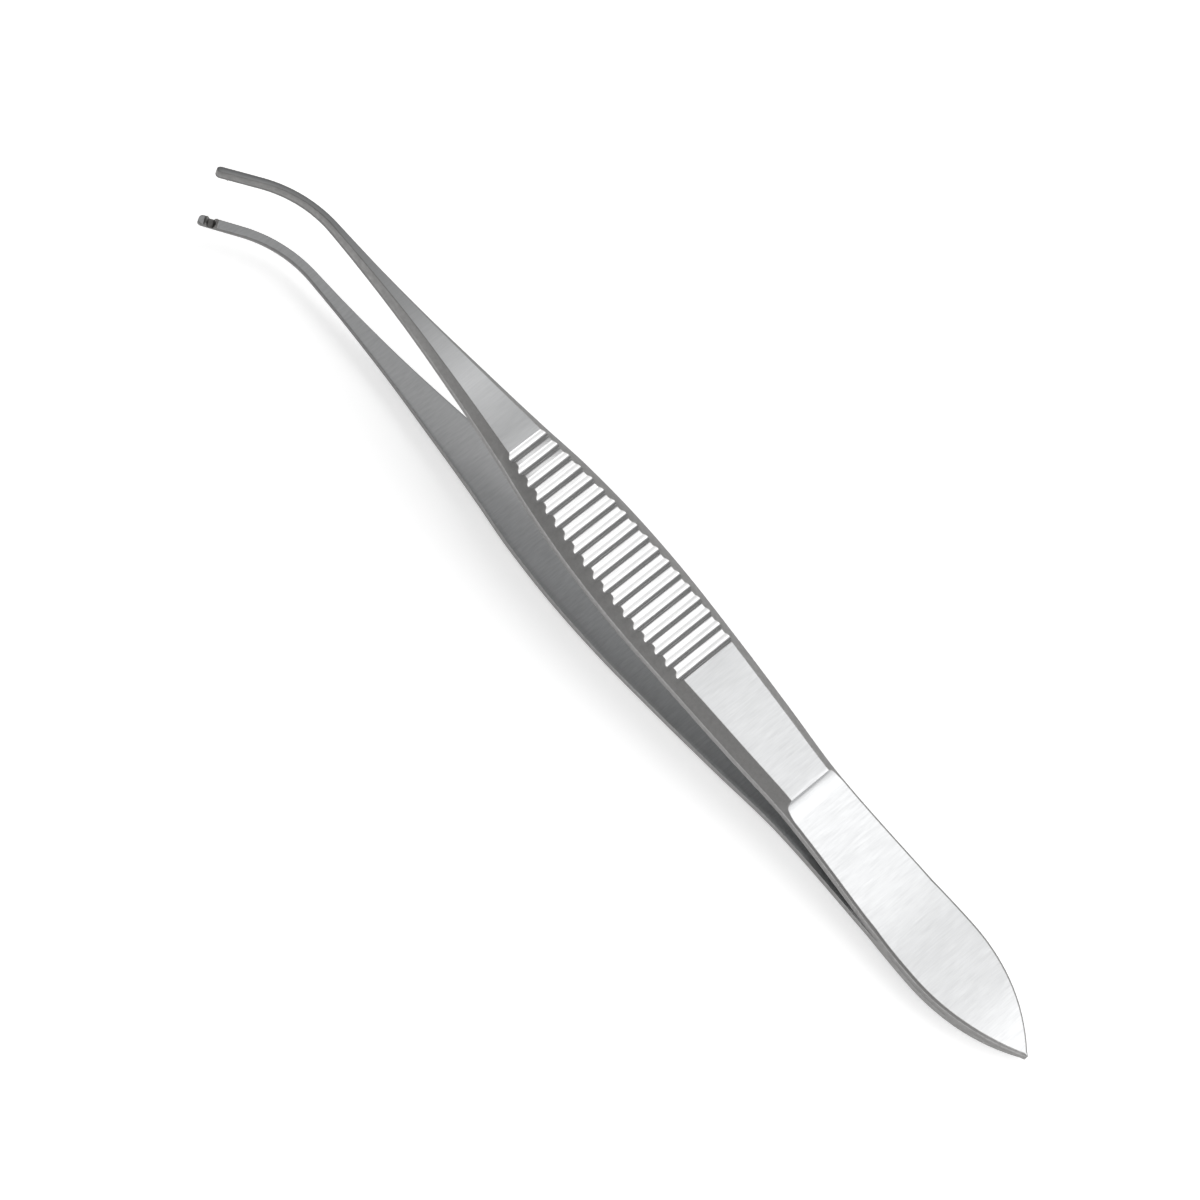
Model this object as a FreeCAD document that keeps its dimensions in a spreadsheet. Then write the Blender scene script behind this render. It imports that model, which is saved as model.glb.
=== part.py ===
import FreeCAD, Part
import Sketcher
import math
import os
from FreeCAD import Placement, Rotation, Vector

# Thumb forceps about 100 mm long: two stainless arms welded face to face at a leaf-shaped tail.
# Each arm is drawn in its own frame: x runs from the tail to the tip, z = 0 is the plane between
# the arms, and z grows towards the arm's outer face. The lower arm is the same arm turned over,
# with its tip curved to the other side of its own frame, so that the two tips meet.
# The pair lies as it rests on a table, on the tail and on the flat ground along the lower grip.

SIZES = {
    # Tail leaf, where the arms are welded together
    "weld_length": 15.5,
    "weld_width": 7.2,
    "leaf_swell": 0.3,
    "leaf_widest_at": 11.0,
    "leaf_thickness": 0.95,
    "leaf_chamfer": 0.2,
    "tail_offset": 0.4,
    # Step from the thin leaf up to the thick handle
    "step_at": 28.6,
    "step_radius": 1.5,
    # Side view: straight flare out of the weld, straight grip in line with the tail, then a bow
    "grip_angle": 4.165,
    "grip_from": 41.0,
    "grip_to": 61.0,
    "bow_radius": 400.0,
    # Cross-section: a low upright strip along the inner face, then a bevel to the outer face
    "handle_thickness": 1.68,
    "tip_thickness": 0.85,
    "strip_height": 0.75,
    "taper_start": 61.0,
    # Width of the inner face (base) and of the outer face at places along the arm
    "weld_face": 5.4,
    "waist_at": 27.5,
    "waist_base": 6.2,
    "waist_face": 4.4,
    "handle_at": 35.0,
    "handle_base": 6.95,
    "handle_face": 4.98,
    "rear_base": 7.5,
    "rear_face": 5.48,
    "swell_at": 48.5,
    "swell_base": 8.0,
    "swell_face": 5.88,
    "shoulder_at": 55.0,
    "shoulder_base": 7.72,
    "shoulder_face": 5.45,
    "front_base": 6.65,
    "front_face": 4.52,
    "shank_at": 66.0,
    "shank_base": 5.15,
    "shank_face": 3.6,
    "slope_at": 72.0,
    "slope_base": 3.65,
    "slope_face": 2.45,
    "neck_at": 80.5,
    "neck_base": 1.9,
    "neck_face": 1.1,
    # Curved tip
    "tip_start": 90.0,
    "tip_base": 0.9,
    "tip_face": 0.5,
    "tip_radius": 11.5,
    "tip_angle": 36.5,
    "tip_run": 3.9,
    "tip_corner": 0.3,
    # Grooves across the grip
    "groove_count": 18,
    "groove_start": 42.4,
    "groove_pitch": 1.34,
    "groove_radius": 0.38,
    "groove_depth": 0.29,
    "groove_lip": 0.12,
    # Teeth on the inner faces of the tips
    "tooth_height": 0.28,
    "tooth_length": 0.42,
    "tooth_width": 0.8,
    "tooth_setback": 1.12,
    "tooth_spacing": 0.84,
    "notch_depth": 0.14,
}

doc = FreeCAD.newDocument("thumb_forceps")
sheet = doc.addObject("Spreadsheet::Sheet", "Sizes")
for row, (alias, number) in enumerate(SIZES.items(), start=1):
    sheet.set(f"A{row}", alias)
    sheet.set(f"B{row}", str(number))
    sheet.setAlias(f"B{row}", alias)
doc.recompute()


def of(alias):
    return f"Sizes.{alias}"


def value(expression):
    return float(sheet.evalExpression(str(expression)))


def origin_plane(body, role):
    return [plane for plane in body.Origin.OriginFeatures if plane.Role == role][0]


def new_sketch(body, name, role, x="0", y="0", z="0", axis=Vector(0, 0, 1), turn="0"):
    """A sketch on an origin plane of its body, moved and turned within that plane's own axes."""
    sketch = body.newObject("Sketcher::SketchObject", name)
    sketch.AttachmentSupport = [(origin_plane(body, role), "")]
    sketch.MapMode = "FlatFace"
    sketch.AttachmentOffset = Placement(Vector(), Rotation(axis, value(turn)))
    sketch.setExpression(".AttachmentOffset.Base.x", x)
    sketch.setExpression(".AttachmentOffset.Base.y", y)
    sketch.setExpression(".AttachmentOffset.Base.z", z)
    sketch.setExpression(".AttachmentOffset.Rotation.Angle", turn)
    return sketch


def dimension(sketch, kind, name, expression, *where):
    number = value(expression)
    index = sketch.addConstraint(Sketcher.Constraint(kind, *where, number))
    sketch.renameConstraint(index, name)
    sketch.setExpression(f"Constraints.{name}", expression)


def outline(sketch, points):
    """Closed run of straight lines; line k goes from point k to the next."""
    vectors = [Vector(value(x), value(y), 0) for x, y in points]
    lines = [sketch.addGeometry(Part.LineSegment(start, end))
             for start, end in zip(vectors, vectors[1:] + vectors[:1])]
    for line, following in zip(lines, lines[1:] + lines[:1]):
        sketch.addConstraint(Sketcher.Constraint("Coincident", line, 2, following, 1))
    return lines


def pin_point(sketch, name, line, x, y):
    """Hold a line's start at a place measured from the sketch's origin."""
    dimension(sketch, "DistanceX", f"{name}_x", x, -1, 1, line, 1)
    dimension(sketch, "DistanceY", f"{name}_y", y, -1, 1, line, 1)


def polygon_sketch(sketch, points):
    for index, (line, (x, y)) in enumerate(zip(outline(sketch, points), points)):
        pin_point(sketch, f"corner{index}", line, x, y)


# Side view of the arm
def grip_gap(x):
    """Height of the grip's inner face. Its outer face, before grinding, is in line with the tail."""
    return (f"({of('leaf_thickness')} + {x} * tan({of('grip_angle')})"
            f" - {of('handle_thickness')})")


FLARE = f"({grip_gap(of('grip_from'))} / ({of('grip_from')} - {of('weld_length')}))"
FLARE_ANGLE = f"atan({FLARE})"
BOW_X = f"({of('grip_to')} + {of('bow_radius')} * sin({of('grip_angle')}))"
BOW_Z = f"({grip_gap(of('grip_to'))} - {of('bow_radius')} * cos({of('grip_angle')}))"


def half_gap(x):
    """Height of the inner face above the plane between the arms, at x along the arm."""
    if value(x) <= value(of("grip_from")):
        return f"(({x} - {of('weld_length')}) * {FLARE})"
    if value(x) <= value(of("grip_to")):
        return grip_gap(x)
    return f"(sqrt({of('bow_radius')}^2 - ({x} - {BOW_X})^2) + {BOW_Z})"


TIP_BEND_X = f"({of('tip_start')} + {of('tip_radius')} * sin({of('tip_angle')}))"
TIP_BEND_Y = f"({of('tip_radius')} * (1 - cos({of('tip_angle')})))"
TIP_END_X = f"({TIP_BEND_X} + {of('tip_run')} * cos({of('tip_angle')}))"
TIP_END_Y = f"({TIP_BEND_Y} + {of('tip_run')} * sin({of('tip_angle')}))"


def thickness(x):
    """Even thickness along the handle, then an even taper to the end of the tip."""
    if value(x) <= value(of("taper_start")):
        return of("handle_thickness")
    return (f"({of('handle_thickness')} - ({of('handle_thickness')} - {of('tip_thickness')})"
            f" * ({x} - {of('taper_start')}) / ({TIP_END_X} - {of('taper_start')}))")


def add_leaf(body, bend):
    """Flat leaf at the tail: two arcs a side from the weld's end to a slightly offset point."""
    sketch = new_sketch(body, "LeafOutline", "XY_Plane")
    widest = value(of("leaf_widest_at"))
    half_width = f"(({of('weld_width')} + {of('leaf_swell')}) / 2)"
    half = value(half_width)
    end = value(of("weld_length"))
    end_half = value(f"{of('weld_width')} / 2")
    point = Vector(0, bend * value(of("tail_offset")), 0)
    arcs = []
    for side in (1, -1):
        for x, y in ((end, end_half), (0, side * point.y)):
            radius = ((x - widest) ** 2 + (half - y) ** 2) / (2 * (half - y))
            centre = Vector(widest, side * (half - radius), 0)
            end_turn = math.atan2(side * y - centre.y, x - widest)
            first, last = sorted((end_turn, side * math.pi / 2))
            arc = Part.ArcOfCircle(Part.Circle(centre, Vector(0, 0, 1), radius), first, last)
            arcs.append(sketch.addGeometry(arc))
    front_left, back_left, front_right, back_right = arcs
    closing = sketch.addGeometry(Part.LineSegment(Vector(end, -end_half, 0),
                                                  Vector(end, end_half, 0)))
    joints = ((closing, 2, front_left, 1), (front_left, 2, back_left, 1),
              (back_left, 2, back_right, 1), (back_right, 2, front_right, 1),
              (front_right, 2, closing, 1))
    for joint in joints:
        sketch.addConstraint(Sketcher.Constraint("Coincident", *joint))
    for name, arc in zip(("front_left", "back_left", "front_right", "back_right"), arcs):
        dimension(sketch, "DistanceX", f"{name}_centre", of("leaf_widest_at"), -1, 1, arc, 3)
    for name, arc, side in (("left", back_left, 1), ("right", front_right, -1)):
        dimension(sketch, "DistanceX", f"{name}_widest", of("leaf_widest_at"), -1, 1, arc, 1)
        dimension(sketch, "DistanceY", f"{name}_half", f"{side} * {half_width}", -1, 1, arc, 1)
    dimension(sketch, "DistanceX", "weld_end", of("weld_length"), -1, 1, closing, 1)
    dimension(sketch, "DistanceY", "weld_right", f"-{of('weld_width')} / 2", -1, 1, closing, 1)
    dimension(sketch, "DistanceX", "weld_end_left", of("weld_length"), -1, 1, closing, 2)
    dimension(sketch, "DistanceY", "weld_left", f"{of('weld_width')} / 2", -1, 1, closing, 2)
    sketch.addConstraint(Sketcher.Constraint("PointOnObject", back_left, 2, -2))
    dimension(sketch, "DistanceY", "tail_point", f"{bend} * {of('tail_offset')}",
              -1, 1, back_left, 2)
    pad = body.newObject("PartDesign::Pad", "Leaf")
    pad.Profile = sketch
    pad.setExpression("Length", of("leaf_thickness"))
    doc.recompute()
    rim = [f"Edge{index}" for index, edge in enumerate(pad.Shape.Edges, start=1)
           if edge.Curve.TypeId == "Part::GeomCircle"
           and edge.BoundBox.ZMin > value(of("leaf_thickness")) / 2]
    chamfer = body.newObject("PartDesign::Chamfer", "LeafChamfer")
    chamfer.Base = (pad, rim)
    chamfer.setExpression("Size", of("leaf_chamfer"))
    return chamfer


def add_section(body, name, x, y, turn, base, face):
    """Cross-section: wide inner face, upright strips, bevels and a narrower outer face."""
    sketch = new_sketch(body, name, "YZ_Plane", x=y, y=half_gap(x), z=x,
                        axis=Vector(0, 1, 0), turn=turn)
    thick = thickness(x)
    strip = f"{of('strip_height')} * {thick} / {of('handle_thickness')}"
    points = ((f"-{base} / 2", "0"), (f"{base} / 2", "0"), (f"{base} / 2", strip),
              (f"{face} / 2", thick), (f"-{face} / 2", thick), (f"-{base} / 2", strip))
    polygon_sketch(sketch, points)
    return sketch


def add_handle(body, bend):
    """One loft from the end of the weld, over the grip, to the end of the curved tip."""
    places = [("weld", of("weld_length"), "0", "0", of("weld_width"), of("weld_face"))]
    for name, at in (("waist", "waist_at"), ("handle", "handle_at"), ("rear", "grip_from"),
                     ("swell", "swell_at"), ("shoulder", "shoulder_at"), ("front", "grip_to"),
                     ("shank", "shank_at"), ("slope", "slope_at"), ("neck", "neck_at")):
        places.append((name, of(at), "0", "0", of(f"{name}_base"), of(f"{name}_face")))
    for share in (0, 0.5, 1):
        turn = f"{share} * {of('tip_angle')}"
        x = f"({of('tip_start')} + {of('tip_radius')} * sin({turn}))"
        y = f"{bend} * {of('tip_radius')} * (1 - cos({turn}))"
        places.append((f"bend{int(100 * share)}", x, y, f"{bend} * {turn}",
                       of("tip_base"), of("tip_face")))
    places.append(("tip_end", TIP_END_X, f"{bend} * {TIP_END_Y}", f"{bend} * {of('tip_angle')}",
                   of("tip_base"), of("tip_face")))
    sections = [add_section(body, f"Section_{name}", x, y, turn, base, face)
                for name, x, y, turn, base, face in places]
    loft = body.newObject("PartDesign::AdditiveLoft", "Handle")
    loft.Profile = sections[0]
    loft.Sections = sections[1:]
    loft.Ruled = False
    return loft


def add_step(body):
    """Cut the flared part of the tail down to the leaf's thickness, ending in a hollow round."""
    sketch = new_sketch(body, "StepProfile", "XZ_Plane", x=of("weld_length"),
                        y=of("leaf_thickness"), turn=FLARE_ANGLE)
    run = f"(({of('step_at')} - {of('weld_length')}) / cos({FLARE_ANGLE}))"
    radius = of("step_radius")
    rise = f"({of('handle_thickness')} - {of('leaf_thickness')})"
    reach = f"sqrt({radius}^2 - ({radius} - {rise})^2)"
    above = f"({rise} * 3)"
    start = Vector(value(run) - value(reach), 0, 0)
    centre = Vector(start.x, value(radius), 0)
    top_turn = math.asin(value(f"({radius} - {rise}) / {radius}"))
    floor = sketch.addGeometry(Part.LineSegment(Vector(0, 0, 0), start))
    hollow = sketch.addGeometry(Part.ArcOfCircle(
        Part.Circle(centre, Vector(0, 0, 1), value(radius)), -math.pi / 2, -top_turn))
    riser = sketch.addGeometry(Part.LineSegment(Vector(value(run), value(rise), 0),
                                                Vector(value(run), value(above), 0)))
    roof = sketch.addGeometry(Part.LineSegment(Vector(value(run), value(above), 0),
                                               Vector(0, value(above), 0)))
    back = sketch.addGeometry(Part.LineSegment(Vector(0, value(above), 0), Vector(0, 0, 0)))
    for joint in ((floor, 2, hollow, 1), (hollow, 2, riser, 1), (riser, 2, roof, 1),
                  (roof, 2, back, 1), (back, 2, floor, 1)):
        sketch.addConstraint(Sketcher.Constraint("Coincident", *joint))
    sketch.addConstraint(Sketcher.Constraint("Coincident", floor, 1, -1, 1))
    sketch.addConstraint(Sketcher.Constraint("Horizontal", floor))
    sketch.addConstraint(Sketcher.Constraint("Horizontal", roof))
    sketch.addConstraint(Sketcher.Constraint("Vertical", riser))
    sketch.addConstraint(Sketcher.Constraint("Vertical", back))
    sketch.addConstraint(Sketcher.Constraint("Vertical", hollow, 1, hollow, 3))
    dimension(sketch, "Radius", "hollow_radius", radius, hollow)
    dimension(sketch, "DistanceX", "step_run", run, -1, 1, riser, 1)
    dimension(sketch, "DistanceY", "step_rise", rise, -1, 1, riser, 1)
    dimension(sketch, "DistanceY", "cut_height", above, -1, 1, roof, 1)
    pocket = body.newObject("PartDesign::Pocket", "Step")
    pocket.Profile = sketch
    pocket.Midplane = True
    pocket.setExpression("Length", f"2 * {of('swell_base')}")
    return pocket


def outer_corner(leaf):
    """How far from the tail's end its outer face starts, inside the chamfer."""
    top = value(of("leaf_thickness"))
    return min(vertex.X for vertex in leaf.Shape.Vertexes if math.isclose(vertex.Z, top))


def ground_height(x, corner):
    """Height at x of the line from the tail's outer corner along the grip's ground flat."""
    return f"({of('leaf_thickness')} + ({x} - {corner}) * tan({of('grip_angle')}))"


def add_flat(body, corner):
    """Grind the grip's outer face flat, exactly in line with the tail's outer corner."""
    sketch = new_sketch(body, "FlatProfile", "XZ_Plane", x=str(corner),
                        y=of("leaf_thickness"), turn=of("grip_angle"))
    height = of("leaf_thickness")
    polygon_sketch(sketch, ((of("step_at"), "0"), (of("slope_at"), "0"),
                            (of("slope_at"), height), (of("step_at"), height)))
    pocket = body.newObject("PartDesign::Pocket", "Flat")
    pocket.Profile = sketch
    pocket.Midplane = True
    pocket.setExpression("Length", f"2 * {of('swell_base')}")
    return pocket


def add_grooves(body, corner):
    """Rounded grooves across the grip, stepped along its ground flat."""
    first = of("groove_start")
    height = ground_height(first, corner)
    sketch = new_sketch(body, "GrooveProfile", "XZ_Plane", x=first, y=height,
                        turn=of("grip_angle"))
    radius, depth, lip = of("groove_radius"), of("groove_depth"), of("groove_lip")
    edge = f"sqrt(({radius} + {lip})^2 - ({radius} - {depth} + {lip})^2)"
    above = of("groove_radius")
    centre = Vector(0, value(f"{radius} - {depth}"), 0)
    half, low, high = value(edge), value(lip), value(above)
    touch = math.atan2(centre.y + low, half)
    upward = Vector(0, 0, 1)
    hollow = sketch.addGeometry(Part.ArcOfCircle(
        Part.Circle(centre, upward, value(radius)), math.pi + touch, -touch))
    right = sketch.addGeometry(Part.ArcOfCircle(
        Part.Circle(Vector(half, -low, 0), upward, low), math.pi / 2, math.pi - touch))
    left = sketch.addGeometry(Part.ArcOfCircle(
        Part.Circle(Vector(-half, -low, 0), upward, low), touch, math.pi / 2))
    rise_right = sketch.addGeometry(Part.LineSegment(Vector(half, 0, 0), Vector(half, high, 0)))
    roof = sketch.addGeometry(Part.LineSegment(Vector(half, high, 0), Vector(-half, high, 0)))
    rise_left = sketch.addGeometry(Part.LineSegment(Vector(-half, high, 0), Vector(-half, 0, 0)))
    sketch.addConstraint(Sketcher.Constraint("Tangent", hollow, 2, right, 2))
    sketch.addConstraint(Sketcher.Constraint("Tangent", left, 1, hollow, 1))
    for joint in ((right, 1, rise_right, 1), (rise_right, 2, roof, 1),
                  (roof, 2, rise_left, 1), (rise_left, 2, left, 2)):
        sketch.addConstraint(Sketcher.Constraint("Coincident", *joint))
    sketch.addConstraint(Sketcher.Constraint("Vertical", rise_right))
    sketch.addConstraint(Sketcher.Constraint("Vertical", rise_left))
    sketch.addConstraint(Sketcher.Constraint("Horizontal", roof))
    sketch.addConstraint(Sketcher.Constraint("PointOnObject", hollow, 3, -2))
    sketch.addConstraint(Sketcher.Constraint("PointOnObject", right, 1, -1))
    sketch.addConstraint(Sketcher.Constraint("PointOnObject", left, 2, -1))
    sketch.addConstraint(Sketcher.Constraint("Vertical", right, 1, right, 3))
    sketch.addConstraint(Sketcher.Constraint("Vertical", left, 2, left, 3))
    dimension(sketch, "Radius", "groove_radius", radius, hollow)
    dimension(sketch, "Radius", "right_lip", lip, right)
    dimension(sketch, "Radius", "left_lip", lip, left)
    dimension(sketch, "DistanceY", "groove_centre", f"{radius} - {depth}", -1, 1, hollow, 3)
    dimension(sketch, "DistanceY", "cut_height", above, -1, 1, roof, 1)
    pocket = body.newObject("PartDesign::Pocket", "Groove")
    pocket.Profile = sketch
    pocket.Midplane = True
    pocket.setExpression("Length", f"2 * {of('swell_base')}")
    pattern = body.newObject("PartDesign::LinearPattern", "Grooves")
    pattern.Originals = [pocket]
    pattern.Direction = (sketch, ["H_Axis"])
    pattern.setExpression("Length", f"({of('groove_count')} - 1) * {of('groove_pitch')}")
    pattern.setExpression("Occurrences", of("groove_count"))
    body.Tip = pattern
    return pattern


def tip_sketch(body, name, bend):
    """Sketch in the upright plane along the tip, with its origin at the tip's end."""
    return new_sketch(body, name, "XZ_Plane", x=TIP_END_X, y=half_gap(TIP_END_X),
                      z=f"-1 * {bend} * {TIP_END_Y}", axis=Vector(0, 1, 0),
                      turn=f"{bend} * {of('tip_angle')}")


def add_teeth(body, bend, setbacks):
    """Pointed ridges across the inner face, each at its distance back from the tip's end."""
    for index, setback in enumerate(setbacks, start=1):
        sketch = tip_sketch(body, f"ToothProfile{index}", bend)
        half = f"{of('tooth_length')} / 2"
        root = f"({of('tip_thickness')} / 3)"
        points = ((f"-1 * {setback} - {half}", root), (f"-1 * {setback} - {half}", "0"),
                  (f"-1 * {setback}", f"-1 * {of('tooth_height')}"),
                  (f"-1 * {setback} + {half}", "0"), (f"-1 * {setback} + {half}", root))
        polygon_sketch(sketch, points)
        pad = body.newObject("PartDesign::Pad", f"Tooth{index}")
        pad.Profile = sketch
        pad.Midplane = True
        pad.setExpression("Length", of("tooth_width"))


def add_notch(body, bend):
    """Shallow notch between the two teeth, where the other arm's tooth goes."""
    sketch = tip_sketch(body, "NotchProfile", bend)
    wide = f"({of('tooth_spacing')} - {of('tooth_length')}) / 2"
    middle = f"-1 * {of('tooth_setback')}"
    points = ((f"{middle} - {wide}", f"-1 * {of('notch_depth')}"),
              (f"{middle} + {wide}", f"-1 * {of('notch_depth')}"),
              (f"{middle} + {wide} / 2", of("notch_depth")),
              (f"{middle} - {wide} / 2", of("notch_depth")))
    polygon_sketch(sketch, points)
    pocket = body.newObject("PartDesign::Pocket", "Notch")
    pocket.Profile = sketch
    pocket.Midplane = True
    pocket.setExpression("Length", f"2 * {of('tip_base')}")


def add_nose(body, bend):
    """Round the corners of the tip's end, seen from above."""
    sketch = new_sketch(body, "NoseOutline", "XY_Plane", x=TIP_END_X, y=f"{bend} * {TIP_END_Y}",
                        turn=f"{bend} * {of('tip_angle')}")
    half, corner = f"({of('tip_base')} / 2)", of("tip_corner")
    beyond = of("tip_base")
    w, r, far = value(half), value(corner), value(beyond)
    upward = Vector(0, 0, 1)
    left = sketch.addGeometry(Part.ArcOfCircle(
        Part.Circle(Vector(-r, w - r, 0), upward, r), 0, math.pi / 2))
    right = sketch.addGeometry(Part.ArcOfCircle(
        Part.Circle(Vector(-r, r - w, 0), upward, r), -math.pi / 2, 0))
    corners = [(-r, -w), (-r, -far), (far, -far), (far, far), (-r, far), (-r, w)]
    spots = [Vector(x, y, 0) for x, y in corners]
    sides = [sketch.addGeometry(Part.LineSegment(start, end))
             for start, end in zip(spots, spots[1:])]
    front = sketch.addGeometry(Part.LineSegment(Vector(0, w - r, 0), Vector(0, r - w, 0)))
    chain = [(right, 1, sides[0], 1)]
    chain += [(side, 2, following, 1) for side, following in zip(sides, sides[1:])]
    chain += [(sides[-1], 2, left, 2), (left, 1, front, 1), (front, 2, right, 2)]
    for joint in chain:
        sketch.addConstraint(Sketcher.Constraint("Coincident", *joint))
    for side in (sides[0], sides[2], sides[4]):
        sketch.addConstraint(Sketcher.Constraint("Vertical", side))
    for side in (sides[1], sides[3]):
        sketch.addConstraint(Sketcher.Constraint("Horizontal", side))
    for name, arc, sign in (("left", left, "1"), ("right", right, "-1")):
        dimension(sketch, "Radius", f"{name}_corner", corner, arc)
        dimension(sketch, "DistanceX", f"{name}_centre_x", f"-{corner}", -1, 1, arc, 3)
        dimension(sketch, "DistanceY", f"{name}_centre_y", f"{sign} * ({half} - {corner})",
                  -1, 1, arc, 3)
    sketch.addConstraint(Sketcher.Constraint("Horizontal", left, 1, left, 3))
    sketch.addConstraint(Sketcher.Constraint("Vertical", left, 2, left, 3))
    sketch.addConstraint(Sketcher.Constraint("Vertical", right, 1, right, 3))
    sketch.addConstraint(Sketcher.Constraint("Horizontal", right, 2, right, 3))
    dimension(sketch, "DistanceX", "far_x", beyond, -1, 1, sides[2], 1)
    dimension(sketch, "DistanceY", "far_right", f"-{beyond}", -1, 1, sides[2], 1)
    dimension(sketch, "DistanceY", "far_left", beyond, -1, 1, sides[2], 2)
    pocket = body.newObject("PartDesign::Pocket", "Nose")
    pocket.Profile = sketch
    pocket.Midplane = True
    pocket.setExpression("Length", f"4 * {half_gap(TIP_END_X)}")
    return pocket


def rest_tilt():
    """Angle between the plane of the weld and the table: tail and lower grip lie on it."""
    return value(of("grip_angle"))


def add_arm(name, bend, setbacks):
    body = doc.addObject("PartDesign::Body", name)
    body.Label = name
    leaf = add_leaf(body, bend)
    doc.recompute()
    corner = outer_corner(leaf)
    add_handle(body, bend)
    add_step(body)
    add_flat(body, corner)
    add_grooves(body, corner)
    add_nose(body, bend)
    add_teeth(body, bend, setbacks)
    if len(setbacks) > 1:
        add_notch(body, bend)
    doc.recompute()
    turned_over = Rotation(Vector(1, 0, 0), 0 if bend > 0 else 180)
    body.Placement = Placement(Vector(), Rotation(Vector(0, 1, 0), -rest_tilt()) * turned_over)
    return body


def lay_down(bodies):
    """Move the pair so that it lies on z = 0 with the middle of its footprint at the origin."""
    doc.recompute()
    box = Part.makeCompound([body.Shape for body in bodies]).optimalBoundingBox(False, False)
    shift = Vector(box.Center.x, box.Center.y, box.ZMin)
    for body in bodies:
        body.Placement = Placement(body.Placement.Base - shift, body.Placement.Rotation)
    doc.recompute()


middle = of("tooth_setback")
spread = f"{of('tooth_spacing')} / 2"
upper_arm = add_arm("upper_arm", 1, [middle])
lower_arm = add_arm("lower_arm", -1, [f"({middle} - {spread})", f"({middle} + {spread})"])
lay_down([upper_arm, lower_arm])

faults = [thing.Label for thing in doc.Objects
          if "Invalid" in thing.State or "Error" in thing.State]
for body in (upper_arm, lower_arm):
    if body.Shape.isNull() or not body.Shape.isValid():
        faults.append(body.Label)
if faults:
    raise RuntimeError(f"These did not build: {faults}")

os.makedirs("parts", exist_ok=True)
for body in (upper_arm, lower_arm):
    body.Shape.exportStep(f"parts/{body.Label}.step")
    box = body.Shape.optimalBoundingBox(False, False)
    print(f"{body.Label}: {body.Shape.Volume:.1f} mm3, {len(body.Shape.Faces)} faces, "
          f"x {box.XMin:.2f} to {box.XMax:.2f}, y {box.YMin:.2f} to {box.YMax:.2f}, "
          f"z {box.ZMin:.2f} to {box.ZMax:.2f}")
spot = lower_arm.Placement.multVec(Vector(value(of("leaf_widest_at")), 0,
                                          value(of("leaf_thickness"))))
print(f"rest tilt {rest_tilt():.3f} degrees, lower leaf's outer face at "
      f"{spot.x:.3f}, {spot.y:.3f}, {spot.z:.3f}")
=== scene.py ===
# %% [markdown]
# # Thumb forceps, dressed for the studio
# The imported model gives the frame: real sizes, in metres, lying on the table as it rests.
# This lesson models the two sprung arms again with fine rounded edges, gives each kind of
# ground and brushed steel its own finish, and lights the pair on a white table.

# %% Load the frame
import bpy
import math
from mathutils import Matrix, Vector


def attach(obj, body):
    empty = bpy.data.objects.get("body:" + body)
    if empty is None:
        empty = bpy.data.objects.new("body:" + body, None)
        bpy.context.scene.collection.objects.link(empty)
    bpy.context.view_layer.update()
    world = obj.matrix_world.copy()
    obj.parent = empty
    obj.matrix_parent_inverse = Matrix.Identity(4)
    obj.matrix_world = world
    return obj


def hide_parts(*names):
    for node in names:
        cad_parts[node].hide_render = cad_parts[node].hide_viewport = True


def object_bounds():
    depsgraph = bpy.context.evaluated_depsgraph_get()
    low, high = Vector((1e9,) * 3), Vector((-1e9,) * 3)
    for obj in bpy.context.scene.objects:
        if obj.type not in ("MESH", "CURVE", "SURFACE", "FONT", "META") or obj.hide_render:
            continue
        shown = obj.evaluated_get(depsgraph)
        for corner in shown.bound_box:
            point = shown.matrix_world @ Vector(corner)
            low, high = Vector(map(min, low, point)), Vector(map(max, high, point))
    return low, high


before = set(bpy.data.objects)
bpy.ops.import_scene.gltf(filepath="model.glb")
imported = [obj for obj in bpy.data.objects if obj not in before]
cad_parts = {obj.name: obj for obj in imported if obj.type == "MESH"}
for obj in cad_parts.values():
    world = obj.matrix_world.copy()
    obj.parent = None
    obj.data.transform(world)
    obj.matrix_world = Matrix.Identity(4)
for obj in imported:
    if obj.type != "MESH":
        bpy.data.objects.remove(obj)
cad_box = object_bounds()
print("CAD box in mm:", [[round(1000 * v, 2) for v in corner] for corner in cad_box])

# %% [markdown]
# ## The side view of an arm
# A real arm is one blank: thin at the welded tail, a step up to the handle, a straight grip,
# then a long gentle bow to the tips. Writing that side view as a few short functions, in
# millimetres along the arm, keeps every later cut and finish in step with it.

# %% Side view of an arm, in millimetres from the tail
MM = 0.001
WELD_END = 15.5
LEAF_THICK = 0.95
HANDLE_THICK = 1.68
TIP_THICK = 0.83
TAPER_FROM = 61.0
GRIP_FROM, GRIP_TO = 41.0, 61.0
REST_TILT = math.radians(4.165)
BOW_RADIUS = 400.0
STEP_AT = 28.6
TIP_START, TIP_RADIUS, TIP_RUN = 90.0, 11.5, 3.9
TIP_ANGLE = math.radians(36.5)
TIP_END = TIP_START + TIP_RADIUS * math.sin(TIP_ANGLE) + TIP_RUN * math.cos(TIP_ANGLE)


def grip_gap(x):
    """Half the gap between the arms where the grip runs straight."""
    return LEAF_THICK + x * math.tan(REST_TILT) - HANDLE_THICK


FLARE = grip_gap(GRIP_FROM) / (GRIP_FROM - WELD_END)
BOW_X = GRIP_TO + BOW_RADIUS * math.sin(REST_TILT)
BOW_Z = grip_gap(GRIP_TO) - BOW_RADIUS * math.cos(REST_TILT)


def half_gap(x):
    """Height of the inner face over the plane between the arms."""
    if x <= WELD_END:
        return 0.0
    if x <= GRIP_FROM:
        return (x - WELD_END) * FLARE
    if x <= GRIP_TO:
        return grip_gap(x)
    return math.sqrt(BOW_RADIUS ** 2 - (x - BOW_X) ** 2) + BOW_Z


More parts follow.
